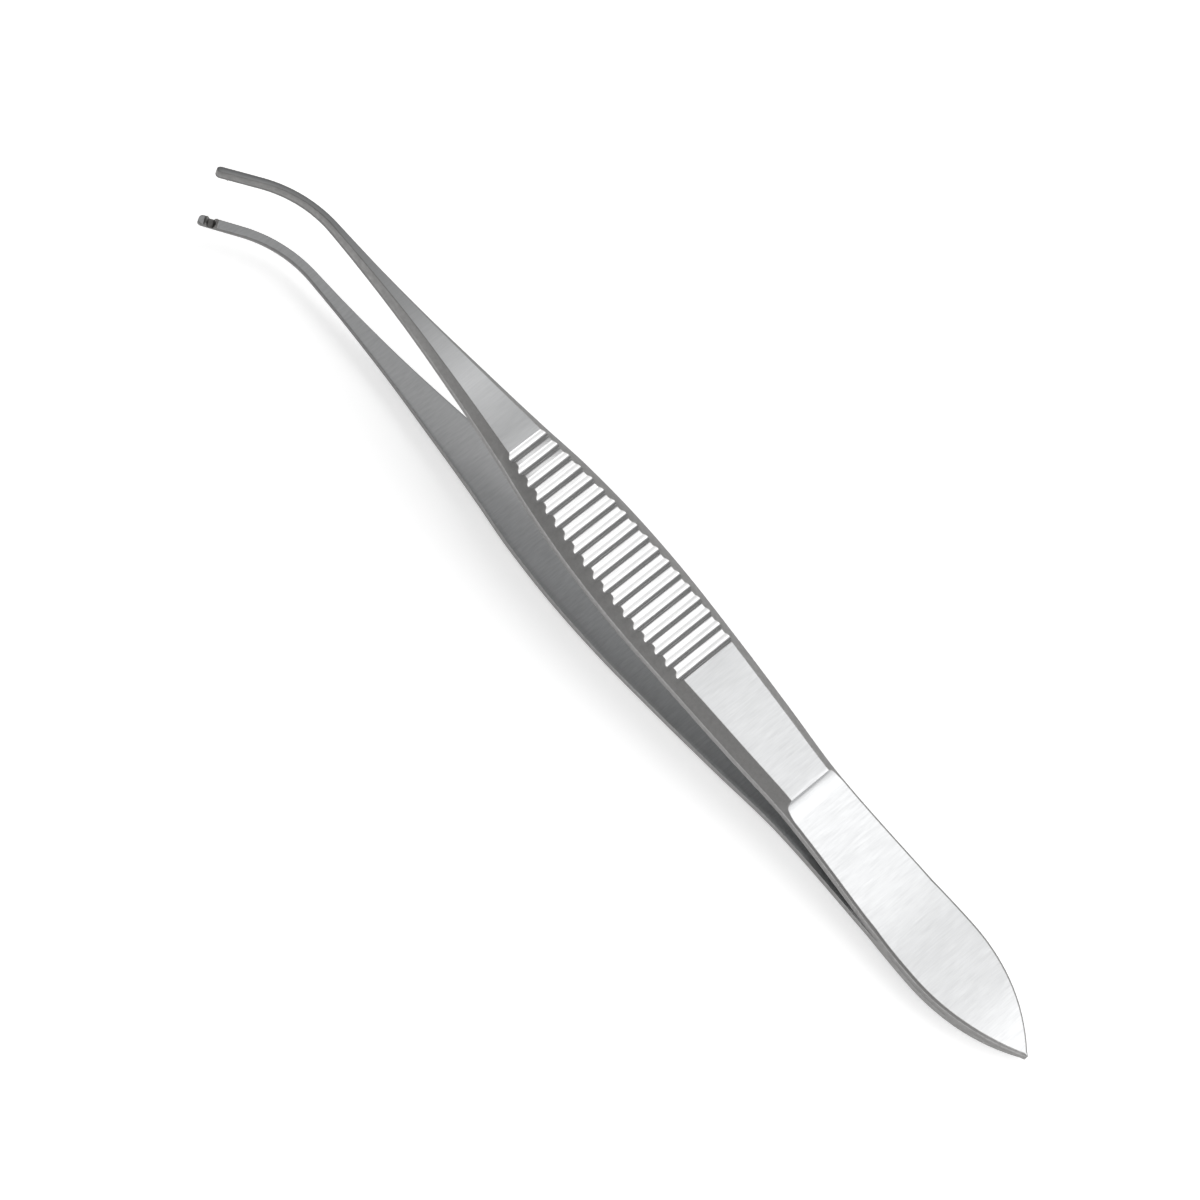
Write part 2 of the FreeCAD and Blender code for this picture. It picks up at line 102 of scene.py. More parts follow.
def blank_thickness(x):
    """Even along the handle, then tapering to the tip."""
    share = max(0.0, (x - TAPER_FROM) / (TIP_END - TAPER_FROM))
    return HANDLE_THICK - (HANDLE_THICK - TIP_THICK) * share


print("half gap at the grip:", round(half_gap(50), 2), "mm, at the tips:", round(half_gap(TIP_END), 2))

# %% [markdown]
# ## Grooves, flat and step
# The grip is ground flat in line with the tail, so that the pair lies steady, and milled
# across with round-bottomed grooves whose lips are broken. The thin tail ends in a hollow
# ground step, turns gently where the weld ends and is ground thinner towards its point.

# %% Height of the outer face
TAIL_CORNER = 0.33
SOFT_BEND = 3.0
TAIL_TAPER, TAIL_DROP = 6.0, 0.45
WIDE_HOLLOW, TIGHT_HOLLOW = 5.0, 0.5
WIDE_SLOPE, RISER_SLOPE = math.radians(15), math.radians(68)
STEP_RISE = HANDLE_THICK - LEAF_THICK
WIDE_REACH = WIDE_HOLLOW * math.sin(WIDE_SLOPE)
WIDE_RISE = WIDE_HOLLOW * (1 - math.cos(WIDE_SLOPE))
TIGHT_REACH = TIGHT_HOLLOW * (math.sin(RISER_SLOPE) - math.sin(WIDE_SLOPE))
TIGHT_RISE = TIGHT_HOLLOW * (math.cos(WIDE_SLOPE) - math.cos(RISER_SLOPE))
RISER_REACH = (STEP_RISE - WIDE_RISE - TIGHT_RISE) / math.tan(RISER_SLOPE)
STEP_REACH = WIDE_REACH + TIGHT_REACH + RISER_REACH
GROOVE_COUNT, GROOVE_FROM, GROOVE_PITCH = 18, 42.4, 1.34
GROOVE_RADIUS, GROOVE_DEPTH, GROOVE_LIP = 0.42, 0.25, 0.24
LIP_DROP = GROOVE_RADIUS - GROOVE_DEPTH + GROOVE_LIP
GROOVE_REACH = math.sqrt((GROOVE_RADIUS + GROOVE_LIP) ** 2 - LIP_DROP ** 2)
TOUCH = GROOVE_REACH * GROOVE_RADIUS / (GROOVE_RADIUS + GROOVE_LIP)


def groove_depth(offset):
    """Depth at a distance along the arm from the middle of a groove."""
    offset = abs(offset)
    if offset >= GROOVE_REACH:
        return 0.0
    if offset > TOUCH:
        return GROOVE_LIP - math.sqrt(GROOVE_LIP ** 2 - (GROOVE_REACH - offset) ** 2)
    return math.sqrt(GROOVE_RADIUS ** 2 - offset ** 2) - GROOVE_RADIUS + GROOVE_DEPTH


def step_height(back):
    """Rise over the thin tail, at a distance back from the step's edge."""
    if back >= STEP_REACH:
        return 0.0
    if back >= RISER_REACH + TIGHT_REACH:
        return WIDE_HOLLOW - math.sqrt(WIDE_HOLLOW ** 2 - (STEP_REACH - back) ** 2)
    if back >= RISER_REACH:
        slope = math.asin(math.sin(WIDE_SLOPE) + (RISER_REACH + TIGHT_REACH - back) / TIGHT_HOLLOW)
        return WIDE_RISE + TIGHT_HOLLOW * (math.cos(WIDE_SLOPE) - math.cos(slope))
    return STEP_RISE - back * math.tan(RISER_SLOPE)


def outer_height(x):
    """Thickness of the finished arm over its inner face."""
    if x <= STEP_AT:
        bend = FLARE * max(0.0, SOFT_BEND - abs(x - WELD_END)) ** 2 / (4 * SOFT_BEND)
        drop = TAIL_DROP * (max(0.0, TAIL_TAPER - x) / TAIL_TAPER) ** 2
        return LEAF_THICK + step_height(STEP_AT - x) + bend - drop
    nearest = round((x - GROOVE_FROM) / GROOVE_PITCH)
    nearest = min(max(nearest, 0), GROOVE_COUNT - 1)
    ground = LEAF_THICK + (x - TAIL_CORNER) * math.tan(REST_TILT) - half_gap(x)
    return min(blank_thickness(x), ground) - groove_depth(x - GROOVE_FROM - nearest * GROOVE_PITCH)


print("groove reach", round(GROOVE_REACH, 3), "mm, crest", round(GROOVE_PITCH - 2 * GROOVE_REACH, 3))

# %% [markdown]
# ## Widths
# Seen from above the leaf is drawn with arcs, and the handle swells at the grip and narrows
# to the tip. A smooth curve through a few measured widths is what a die maker would file to.

# %% Widths of the inner and outer face
WELD_WIDTH, LEAF_WIDEST, LEAF_WIDEST_AT, TAIL_OFFSET = 7.2, 7.5, 11.0, 0.4
WIDTHS = ((15.5, 7.2, 5.4), (27.5, 6.2, 4.4), (35.0, 6.95, 4.98), (41.0, 7.5, 5.48),
          (48.5, 8.0, 5.88), (55.0, 7.72, 5.45), (61.0, 6.65, 4.52), (66.0, 5.15, 3.6),
          (72.0, 3.65, 2.45), (80.5, 1.9, 1.1), (90.0, 0.9, 0.5), (101.0, 0.9, 0.5))


def smooth_through(points, x):
    """Cubic Hermite curve through (place, value) points, with slopes from the neighbours."""
    slopes = []
    for index in range(len(points)):
        before = points[max(index - 1, 0)]
        after = points[min(index + 1, len(points) - 1)]
        slopes.append((after[1] - before[1]) / (after[0] - before[0]))
    for (start, first), (stop, last), leaving, arriving in zip(points, points[1:], slopes, slopes[1:]):
        if x <= stop:
            run = stop - start
            t = (x - start) / run
            return ((2 * t ** 3 - 3 * t ** 2 + 1) * first + (t ** 3 - 2 * t ** 2 + t) * run * leaving
                    + (3 * t ** 2 - 2 * t ** 3) * last + (t ** 3 - t ** 2) * run * arriving)
    return points[-1][1]


def base_width(x):
    return smooth_through([(at, base) for at, base, face in WIDTHS], x)


def face_width(x):
    return smooth_through([(at, face) for at, base, face in WIDTHS], x)


def leaf_side(x, side):
    """Distance of the leaf's edge from the middle line, on the +1 or -1 side."""
    half = LEAF_WIDEST / 2
    end, at_end = (WELD_END, WELD_WIDTH / 2) if x > LEAF_WIDEST_AT else (0.0, side * TAIL_OFFSET)
    reach = abs(end - LEAF_WIDEST_AT)
    radius = (reach ** 2 + (half - at_end) ** 2) / (2 * (half - at_end))
    return side * (half - radius + math.sqrt(radius ** 2 - (x - LEAF_WIDEST_AT) ** 2))


print("grip width", round(base_width(48.5), 2), "mm, leaf width",
      round(leaf_side(11, 1) - leaf_side(11, -1), 2))

# %% [markdown]
# ## One cross-section
# Cut across, an arm is a low hexagon: a wide inner face, two short upright strips, two bevels
# and a narrower outer face. No steel edge is perfectly sharp, so each corner is three points,
# which is enough for the rounding to catch the light.

# %% Cross-section as a ring of points
EDGE_ROUND, WELDED_ROUND = 0.05, 0.002
ROUND_SHARE, CORNER_PULL = 0.3, 0.45
STRIP_HEIGHT, LEAST_BEVEL = 0.75, 0.1
CHAMFER, CHAMFER_SHARE = 0.2, 0.35
NOSE_ROUND, NOSE_ON_FACE = 0.4, 0.6


def corners(x, nose):
    """The six corners, from the inner face's -y corner round to the bevel above it."""
    thick, height = blank_thickness(x), outer_height(x)
    if x <= WELD_END:
        left, right = leaf_side(x, 1), leaf_side(x, -1)
        inset = min(CHAMFER, CHAMFER_SHARE * (left - right))
        strip = height - inset
        return [(right, 0), (left, 0), (left, strip), (left - inset, height),
                (right + inset, height), (right, strip)]
    base, face = base_width(x) / 2 - nose, face_width(x) / 2 - nose * NOSE_ON_FACE
    strip = min(STRIP_HEIGHT * thick / HANDLE_THICK, height - LEAST_BEVEL)
    edge = base + (face - base) * (height - strip) / (thick - strip)
    return [(-base, 0), (base, 0), (base, strip), (edge, height), (-edge, height), (-base, strip)]


def rounded(points, welded=False):
    """Replace each corner by three points, so that it can be shaded as a small round.

    Over the weld the inner corners stay almost sharp, so that no seam opens between the arms.
    """
    ring = []
    for index, corner in enumerate(points):
        here = Vector(corner)
        reach = WELDED_ROUND if welded and index < 2 else EDGE_ROUND
        ends = []
        for other in (points[index - 1], points[(index + 1) % len(points)]):
            side = Vector(other) - here
            ends.append(here + side.normalized() * min(reach, side.length * ROUND_SHARE))
        middle = (ends[0] + ends[1]) / 2
        ring += [ends[0], middle + (here - middle) * CORNER_PULL, ends[1]]
    return ring


print("points round one section:", len(rounded(corners(50, 0))))

# %% [markdown]
# ## Teeth
# The lower tip has two sharp ridges with a notch between them, and the upper tip has the one
# ridge that closes into the notch. Each is a side view of the inner face: places measured
# back from the tip's end, with the height there.

# %% Side view of the teeth
TOOTH_HEIGHT, TOOTH_LENGTH, TOOTH_SHARE = 0.28, 0.42, 0.93
TOOTH_SETBACK, TOOTH_SPACING, NOTCH_DEPTH = 1.12, 0.84, 0.34


def lower_teeth():
    foot, half = TOOTH_LENGTH / 2, TOOTH_SPACING / 2
    floor = half - foot
    sides = ((half + foot, 0.0), (half, TOOTH_HEIGHT), (floor, -NOTCH_DEPTH))
    return ([(TOOTH_SETBACK - away, height) for away, height in sides]
            + [(TOOTH_SETBACK + away, height) for away, height in reversed(sides)])


LOWER_TEETH = lower_teeth()
UPPER_TOOTH = [(TOOTH_SETBACK - TOOTH_LENGTH / 2, 0.0), (TOOTH_SETBACK, TOOTH_HEIGHT),
               (TOOTH_SETBACK + TOOTH_LENGTH / 2, 0.0)]


def inner_relief(setback, teeth):
    """How far the inner face stands out (above zero) or in, at a distance from the tip's end."""
    for (near, low), (far, high) in zip(teeth, teeth[1:]):
        if near <= setback <= far:
            return low + (high - low) * (setback - near) / (far - near)
    return 0.0


print("teeth from", round(LOWER_TEETH[0][0], 2), "to", round(LOWER_TEETH[-1][0], 2), "mm back")

# %% [markdown]
# ## Where to cut
# A mesh only needs many sections where the shape turns quickly: at the tail's point, in the
# hollow of the step, in each groove, round the tip's bend and over the teeth.

# %% Places for the sections along the arm
POINT_STATIONS = (0.02, 0.08, 0.2, 0.4, 0.7, 1.1, 1.6, 2.2)
GROOVE_STATIONS = (0, 0.09, 0.17, 0.24, 0.29, TOUCH, 0.36, 0.4, 0.44, 0.48, GROOVE_REACH, 0.59)
NOSE_TURNS = (0, 15, 30, 45, 60, 72, 82, 90)
LEAF_FROM, GRIP_CUT_FROM, SHANK_FROM = 2.9, 41.2, 66.2
BEFORE_EDGE, AFTER_EDGE, HANDLE_AFTER = 0.008, 0.03, 0.6
TOOTH_MARGIN, NOSE_FROM = 0.02, 0.435
BEND_END = WELD_END + SOFT_BEND
HOLLOW_AT = STEP_AT - STEP_REACH
RISER_AT = STEP_AT - RISER_REACH
TAIL_STRETCHES = ((LEAF_FROM, WELD_END, 18), (WELD_END, BEND_END, 5), (BEND_END, HOLLOW_AT, 8),
                  (HOLLOW_AT, HOLLOW_AT + WIDE_REACH, 10), (HOLLOW_AT + WIDE_REACH, RISER_AT, 12),
                  (RISER_AT, STEP_AT, 3))


def evenly(start, stop, count):
    """That many even places from the start, without the stop itself."""
    return [start + (stop - start) * index / count for index in range(count)]


def stations():
    """Distances travelled from the tail along the middle line, one for each section."""
    places = list(POINT_STATIONS)
    for start, stop, count in TAIL_STRETCHES:
        places += evenly(start, stop, count)
    places += [STEP_AT - BEFORE_EDGE, STEP_AT + AFTER_EDGE]
    places += evenly(STEP_AT + HANDLE_AFTER, GRIP_CUT_FROM, 14)
    for groove in range(GROOVE_COUNT):
        middle = GROOVE_FROM + groove * GROOVE_PITCH
        places += sorted({middle + side * reach for reach in GROOVE_STATIONS for side in (-1, 1)})
    places += evenly(SHANK_FROM, TIP_START, 22)
    bend_length = TIP_RADIUS * TIP_ANGLE
    places += evenly(TIP_START, TIP_START + bend_length, 16)
    run_end = TIP_START + bend_length + TIP_RUN
    marks = sorted({setback for setback, height in LOWER_TEETH + UPPER_TOOTH}, reverse=True)
    places += evenly(run_end - TIP_RUN, run_end - marks[0], 5) + [run_end - marks[0] - TOOTH_MARGIN]
    for far, near in zip(marks, marks[1:]):
        places += evenly(run_end - far, run_end - near, 6)
    places += [run_end - marks[-1], run_end - marks[-1] + TOOTH_MARGIN, run_end - NOSE_FROM]
    places += [run_end - NOSE_ROUND * (1 - math.sin(math.radians(turn))) for turn in NOSE_TURNS]
    return places


def middle_line(travel):
    """(x, y, turn) of the middle line after that travel from the tail."""
    if travel <= TIP_START:
        return travel, 0.0, 0.0
    turn = min((travel - TIP_START) / TIP_RADIUS, TIP_ANGLE)
    beyond = travel - TIP_START - turn * TIP_RADIUS
    x = TIP_START + TIP_RADIUS * math.sin(turn) + beyond * math.cos(turn)
    y = TIP_RADIUS * (1 - math.cos(turn)) + beyond * math.sin(turn)
    return x, y, turn


STATIONS = stations()
print("sections along an arm:", len(STATIONS))

# %% [markdown]
# ## Modelling an arm
# The arm starts as a flat grid: its rows become the sections and its columns the long edges.
# Rolling a grid up is like folding sheet round a former, and keeps the mesh all quads. The
# seam is merged and both open ends are closed afterwards. The lower arm is the same form
# mirrored over the plane of the weld, so its faces are turned to point outwards again. Each
# face also learns here which finish it takes, while its place on the arm is still known.

# %% Build both arms
INNER, EDGE, FACE, GROOVED, SHADED_TEETH, SHADED_SIDE = range(6)
# The columns run from the inner face by the +Y side to the outer face, and back by the -Y side.
# The +Y strip and the -Y bevel, corner and strip take the darker side steel, which is painted shade.
COLUMN_FINISH = ([EDGE] * 2 + [INNER] * 3 + [EDGE] * 2 + [SHADED_SIDE] + [EDGE] * 5 + [FACE] + [EDGE] * 2
                 + [SHADED_SIDE] * 4)
TIP_TRAVEL = STATIONS[-1]
GROOVES_START = GROOVE_FROM - GROOVE_REACH
GROOVES_END = GROOVE_FROM + (GROOVE_COUNT - 1) * GROOVE_PITCH + GROOVE_REACH
TEETH_START, TEETH_END = LOWER_TEETH[0][0], LOWER_TEETH[-1][0] + 0.01
MERGE_WITHIN = 0.000001


def section_at(travel, side, teeth):
    """One closed ring of points, in the frame where the weld lies on z = 0."""
    x, y, turn = middle_line(travel)
    setback = TIP_TRAVEL - travel
    nose = 0.0
    if setback < NOSE_ROUND:
        nose = NOSE_ROUND - math.sqrt(max(0.0, NOSE_ROUND ** 2 - (NOSE_ROUND - setback) ** 2))
    relief = inner_relief(setback, teeth)
    notch = max(0.0, -relief)
    ring = [Vector((spot.x, max(spot.y, notch))) for spot in rounded(corners(x, nose), x <= WELD_END)]
    extra = [ring[2].lerp(ring[3], share) for share in (1 - TOOTH_SHARE, TOOTH_SHARE)]
    ring = ring[:3] + [Vector((spot.x, -relief)) for spot in extra] + ring[3:]
    ring.append(ring[0])
    lift = half_gap(x)
    return [Vector((x - spot.x * math.sin(turn), y + spot.x * math.cos(turn),
                    side * (lift + spot.y))) * MM for spot in ring]


def finish_at(travel, column):
    """Which material a face takes, from its place along and round the arm."""
    finish = COLUMN_FINISH[column]
    if finish == FACE and GROOVES_START <= travel < GROOVES_END:
        return GROOVED
    if finish == INNER and TEETH_START < TIP_TRAVEL - travel <= TEETH_END:
        return SHADED_TEETH
    return finish


def build_arm(name, side, teeth):
    rows = [section_at(travel, side, teeth) for travel in STATIONS]
    columns = len(rows[0])
    bpy.ops.object.select_all(action="DESELECT")
    bpy.ops.mesh.primitive_grid_add(x_subdivisions=columns - 1, y_subdivisions=len(rows) - 1)
    arm = bpy.context.object
    arm.name = name
    for vertex, spot in zip(arm.data.vertices, (spot for row in rows for spot in row)):
        vertex.co = spot
    for index, polygon in enumerate(arm.data.polygons):
        row, column = divmod(index, columns - 1)
        polygon.material_index = finish_at(STATIONS[row], column)
    bpy.ops.object.mode_set(mode="EDIT")
    bpy.ops.mesh.select_all(action="SELECT")
    bpy.ops.mesh.remove_doubles(threshold=MERGE_WITHIN)
    bpy.ops.mesh.select_all(action="DESELECT")
    bpy.ops.mesh.select_non_manifold()
    bpy.ops.mesh.fill_holes(sides=0)
    bpy.ops.mesh.select_all(action="SELECT")
    bpy.ops.mesh.normals_make_consistent(inside=False)
    bpy.ops.object.mode_set(mode="OBJECT")
    return arm


upper = build_arm("upper_arm_steel", 1, UPPER_TOOTH)
lower = build_arm("lower_arm_steel", -1, LOWER_TEETH)
print("faces:", len(upper.data.polygons), "and", len(lower.data.polygons))

# %% [markdown]
# ## Laying the pair down
# The pair lies on the tail and on the lower grip, so it is tilted by the grip's angle and
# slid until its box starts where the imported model's box starts. Weighted normals then keep
# the wide faces flat while the narrow rounds between them turn smoothly.

# %% Lay the arms on the table and shade them
SMOOTH_UNDER = math.radians(50)
tilt = Matrix.Rotation(-REST_TILT, 4, "Y")
for arm in (upper, lower):
    arm.data.transform(tilt)
spots = [vertex.co for arm in (upper, lower) for vertex in arm.data.vertices]
shift = Vector(cad_box[0][axis] - min(spot[axis] for spot in spots) for axis in range(3))
for arm, node in ((upper, "upper_arm"), (lower, "lower_arm")):
    arm.data.transform(Matrix.Translation(shift))
    bpy.ops.object.select_all(action="DESELECT")
    arm.select_set(True)
    bpy.context.view_layer.objects.active = arm
    bpy.ops.object.shade_smooth_by_angle(angle=SMOOTH_UNDER)
    bpy.ops.object.modifier_add(type="WEIGHTED_NORMAL")
    arm.modifiers[0].keep_sharp = True
    bpy.ops.object.modifier_apply(modifier=arm.modifiers[0].name)
    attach(arm, "root")
    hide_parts(node)
print("shift in mm:", [round(value / MM, 3) for value in shift])

# %% [markdown]
# ## Finishes
# Brushed steel is one metal with several surfaces. The broad outer faces are belted across
# the arm, and the bevels are left darker and slightly mottled by the tumbling drum. The
# upright strips and the -Y bevel take a darker copy of the bevels' steel, as painted shade.
# The inner faces are a duller satin, the grooves are milled bright and the teeth are cut last,
# under a darker steel that is painted shade in their flanks and notch. All of them show the
# fine parallel scratches of an abrasive, so one node group makes those, and each material
# uses it with its own grain.

# %% A node helper and the shared grain
GRAIN_SCALES = (("Across", 7000.0), ("Along", 330.0), ("Clouds", 420.0))
STREAK_DETAIL, STREAK_ROUGHNESS = 4.0, 0.62
CLOUD_DETAIL = 3.0


def add_node(tree, kind, **settings):
    node = tree.nodes.new(kind)
    for key, setting in settings.items():
        setattr(node, key, setting)
    return node


def grain_group():
    """Scratches that run along Y: a streak mask and a slower cloud mask, both from 0 to 1."""
    group = bpy.data.node_groups.new("steel_grain", "ShaderNodeTree")
    for label, default in GRAIN_SCALES:
        socket = group.interface.new_socket(label, in_out="INPUT", socket_type="NodeSocketFloat")
        socket.default_value = default
    for label in ("Streaks", "Cloud"):
        group.interface.new_socket(label, in_out="OUTPUT", socket_type="NodeSocketFloat")
    given = add_node(group, "NodeGroupInput")
    result = add_node(group, "NodeGroupOutput")
    place = add_node(group, "ShaderNodeTexCoord")
    scale = add_node(group, "ShaderNodeCombineXYZ")
    group.links.new(given.outputs["Across"], scale.inputs["X"])
    group.links.new(given.outputs["Along"], scale.inputs["Y"])
    group.links.new(given.outputs["Across"], scale.inputs["Z"])
    stretch = add_node(group, "ShaderNodeVectorMath", operation="MULTIPLY")
    group.links.new(place.outputs["Object"], stretch.inputs[0])
    group.links.new(scale.outputs["Vector"], stretch.inputs[1])
    streaks = add_node(group, "ShaderNodeTexNoise")
    streaks.inputs["Scale"].default_value = 1.0
    streaks.inputs["Detail"].default_value = STREAK_DETAIL
    streaks.inputs["Roughness"].default_value = STREAK_ROUGHNESS
    group.links.new(stretch.outputs["Vector"], streaks.inputs["Vector"])
    cloud = add_node(group, "ShaderNodeTexNoise")
    cloud.inputs["Detail"].default_value = CLOUD_DETAIL
    group.links.new(place.outputs["Object"], cloud.inputs["Vector"])
    group.links.new(given.outputs["Clouds"], cloud.inputs["Scale"])
    group.links.new(streaks.outputs["Fac"], result.inputs["Streaks"])
    group.links.new(cloud.outputs["Fac"], result.inputs["Cloud"])
    return group


GRAIN = grain_group()
print("grain:", [socket.name for socket in GRAIN.interface.items_tree])

# %% [markdown]
# ## A steel that follows its grain
# The pale streaks of brushed steel are also its smoothest, so one mask drives the colour and
# the roughness together, and the same scratches are a very fine bump. Painted light and shade
# that change along the arm go over the colour, lighter or darker where the faces would mirror
# more or less of the lamps. Every finish is put together the same way, so this is one function.

# %% Colour, roughness and painted light of a steel
NOISE_LOW, NOISE_HIGH = 0.3, 0.7
STREAK_PART, CLOUD_PART = 0.92, 0.08
SCRATCH_DEPTH = 0.00001


def remap(tree, source, low, high):
    """Spread a noise mask, which stays near its middle, over low to high."""
    node = add_node(tree, "ShaderNodeMapRange")
    node.inputs["From Min"].default_value = NOISE_LOW
    node.inputs["From Max"].default_value = NOISE_HIGH
    node.inputs["To Min"].default_value = low
    node.inputs["To Max"].default_value = high
    tree.links.new(source, node.inputs["Value"])
    return node.outputs["Result"]


def painted_light_along_arm(tree, stops):
    """Painted light and shade that change with the place along the arm: stops are (x in mm, level)."""
    start, length = stops[0][0], stops[-1][0] - stops[0][0]
    place = add_node(tree, "ShaderNodeTexCoord")
    split = add_node(tree, "ShaderNodeSeparateXYZ")
    tree.links.new(place.outputs["Object"], split.inputs["Vector"])
    share = add_node(tree, "ShaderNodeMapRange")
    share.inputs["From Min"].default_value = start * MM
    share.inputs["From Max"].default_value = (start + length) * MM
    tree.links.new(split.outputs["X"], share.inputs["Value"])
    painted_ramp = add_node(tree, "ShaderNodeValToRGB")
    while len(painted_ramp.color_ramp.elements) < len(stops):
        painted_ramp.color_ramp.elements.new(0.5)
    for element, (x, level) in zip(painted_ramp.color_ramp.elements, stops):
        element.position = (x - start) / length
        element.color = (level, level, level, 1)
    tree.links.new(share.outputs["Result"], painted_ramp.inputs["Fac"])
    return painted_ramp.outputs["Color"]


def steel(name, pale, dark, smooth, rough, across, along, scratch, painted_light, clouds=420.0, rim=1.0):
    """Metal whose colour and roughness follow the grain, with scratches as a fine bump; painted light
    and shade along the arm multiply the colour.
    """
    material = bpy.data.materials.new(name)
    material.use_nodes = True
    tree = material.node_tree
    shader = tree.nodes["Principled BSDF"]
    shader.inputs["Metallic"].default_value = 1.0
    shader.inputs["Specular Tint"].default_value = (rim, rim, rim, 1)
    grain = add_node(tree, "ShaderNodeGroup", node_tree=GRAIN)
    grain.inputs["Across"].default_value = across
    grain.inputs["Along"].default_value = along
    grain.inputs["Clouds"].default_value = clouds
    mask = add_node(tree, "ShaderNodeMath", operation="MULTIPLY_ADD")
    mask.inputs[1].default_value = STREAK_PART
    tree.links.new(grain.outputs["Streaks"], mask.inputs[0])
    mottle = add_node(tree, "ShaderNodeMath", operation="MULTIPLY")
    mottle.inputs[1].default_value = CLOUD_PART
    tree.links.new(grain.outputs["Cloud"], mottle.inputs[0])
    tree.links.new(mottle.outputs[0], mask.inputs[2])
    colour = add_node(tree, "ShaderNodeMix", data_type="RGBA")
    colour.inputs["A"].default_value = (*dark, 1)
    colour.inputs["B"].default_value = (*pale, 1)
    tree.links.new(remap(tree, mask.outputs[0], 0, 1), colour.inputs["Factor"])
    # Painted light and shade along the arm multiply the colour.
    painted_over = add_node(tree, "ShaderNodeMix", data_type="RGBA", blend_type="MULTIPLY")
    painted_over.inputs["Factor"].default_value = 1.0
    tree.links.new(colour.outputs["Result"], painted_over.inputs["A"])
    tree.links.new(painted_light_along_arm(tree, painted_light), painted_over.inputs["B"])
    tree.links.new(painted_over.outputs["Result"], shader.inputs["Base Color"])
    tree.links.new(remap(tree, mask.outputs[0], rough, smooth), shader.inputs["Roughness"])
    bump = add_node(tree, "ShaderNodeBump")
    bump.inputs["Strength"].default_value = scratch
    bump.inputs["Distance"].default_value = SCRATCH_DEPTH
    tree.links.new(grain.outputs["Streaks"], bump.inputs["Height"])
    tree.links.new(bump.outputs["Normal"], shader.inputs["Normal"])
    return material


print("noise from", NOISE_LOW, "to", NOISE_HIGH, "is spread over the whole of each finish")

# %% [markdown]
# ## The six finishes
# Each finish has a pale and a dark colour, the roughness that goes with each, the scale of its
# grain across and along the scratches, and the depth of its bump. The tumbled ones have the
# same scale both ways, which gives a fine mottling in place of streaks. The faces already know
# their finish by number, so the materials are added in the order of those numbers.

# %% Six finishes of the steel
FINE_CLOUDS = 900.0
# Painted light and shade along the arm, as (x in mm, level): the outer faces get painted highlights
# and painted shade stretch by stretch, and the inner faces and edges get painted shade darkening
# towards the tips.
FACE_PAINTED_LIGHT = ((-50, 0.89), (-44, 0.87), (-36, 0.85), (-29, 0.85), (-24, 0.89), (-21.7, 0.89),
              (-21.5, 0.75), (14.5, 0.75), (16.5, 0.63), (22, 0.93), (30, 0.62), (38, 0.53), (50, 0.5))
INNER_PAINTED_SHADE = ((-50, 1.0), (-2, 1.0), (20, 0.84), (35, 0.72), (50, 0.68))
EDGE_PAINTED_SHADE = ((-50, 1.0), (18, 1.0), (36, 0.7), (50, 0.6))
inner_steel = steel("inner_satin_painted_shade", (0.62, 0.625, 0.63), (0.52, 0.525, 0.53), 0.34, 0.44,
                    5500, 600, 0.3, INNER_PAINTED_SHADE)
edge_steel = steel("tumbled_edge_painted_shade", (0.47, 0.465, 0.46), (0.39, 0.385, 0.38), 0.42, 0.52,
                   2600, 2600, 0.3, EDGE_PAINTED_SHADE, clouds=FINE_CLOUDS)
face_steel = steel("belted_face_painted_light", (0.645, 0.65, 0.655), (0.585, 0.59, 0.595), 0.33, 0.4,
                   9000, 520, 0.1, FACE_PAINTED_LIGHT)
groove_steel = steel("milled_groove", (0.62, 0.62, 0.62), (0.55, 0.55, 0.55), 0.24, 0.32,
                     6000, 500, 0.1, EDGE_PAINTED_SHADE)
# Darker steel over the teeth: painted shade of their flanks and notch.
shaded_tooth_steel = steel("cut_teeth_painted_shade", (0.34, 0.33, 0.32), (0.24, 0.235, 0.23), 0.4, 0.5,
                    5000, 1200, 0.3, EDGE_PAINTED_SHADE)
# A darker copy of the tumbled edge steel: painted shade on the upright strips and the -Y bevel.
shaded_side_steel = steel("side_painted_shade", (0.39, 0.386, 0.382), (0.33, 0.326, 0.322), 0.42, 0.52,
                   2600, 2600, 0.3, EDGE_PAINTED_SHADE, clouds=FINE_CLOUDS, rim=0.5)
FINISHES = (inner_steel, edge_steel, face_steel, groove_steel, shaded_tooth_steel, shaded_side_steel)
for arm in (upper, lower):
    for material in FINISHES:
        arm.data.materials.append(material)
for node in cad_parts.values():
    node.data.materials.clear()
    node.data.materials.append(face_steel)
counts = [0] * len(FINISHES)
for polygon in upper.data.polygons:
    counts[polygon.material_index] += 1
print("faces of each finish:", {finish.name: count for finish, count in zip(FINISHES, counts)})

# %% [markdown]
# ## The table
# The forceps lie on a white table. The floor is white paint that also glows a little to the
# camera and in reflections, so it reads as pure white while keeping the soft shadow.

# %% White floor
FLOOR_SIZE, FLOOR_DROP = 6.0, 0.00002
FLOOR_GLOW = 0.47
PAINT_WHITE, PAINT_ROUGHNESS = 0.9, 0.9
bpy.ops.object.select_all(action="DESELECT")
bpy.ops.mesh.primitive_plane_add(size=FLOOR_SIZE, location=(0, 0, -FLOOR_DROP))
floor = bpy.context.object
floor.name = "white_table"


def seen_or_mirrored(tree):
    """1 for rays from the camera, and for those that metal or glass send on."""
    path = add_node(tree, "ShaderNodeLightPath")
    total = path.outputs["Is Camera Ray"]
    for kind in ("Is Glossy Ray", "Is Transmission Ray"):
        highest = add_node(tree, "ShaderNodeMath", operation="MAXIMUM")
        tree.links.new(total, highest.inputs[0])
        tree.links.new(path.outputs[kind], highest.inputs[1])
        total = highest.outputs[0]
    return total


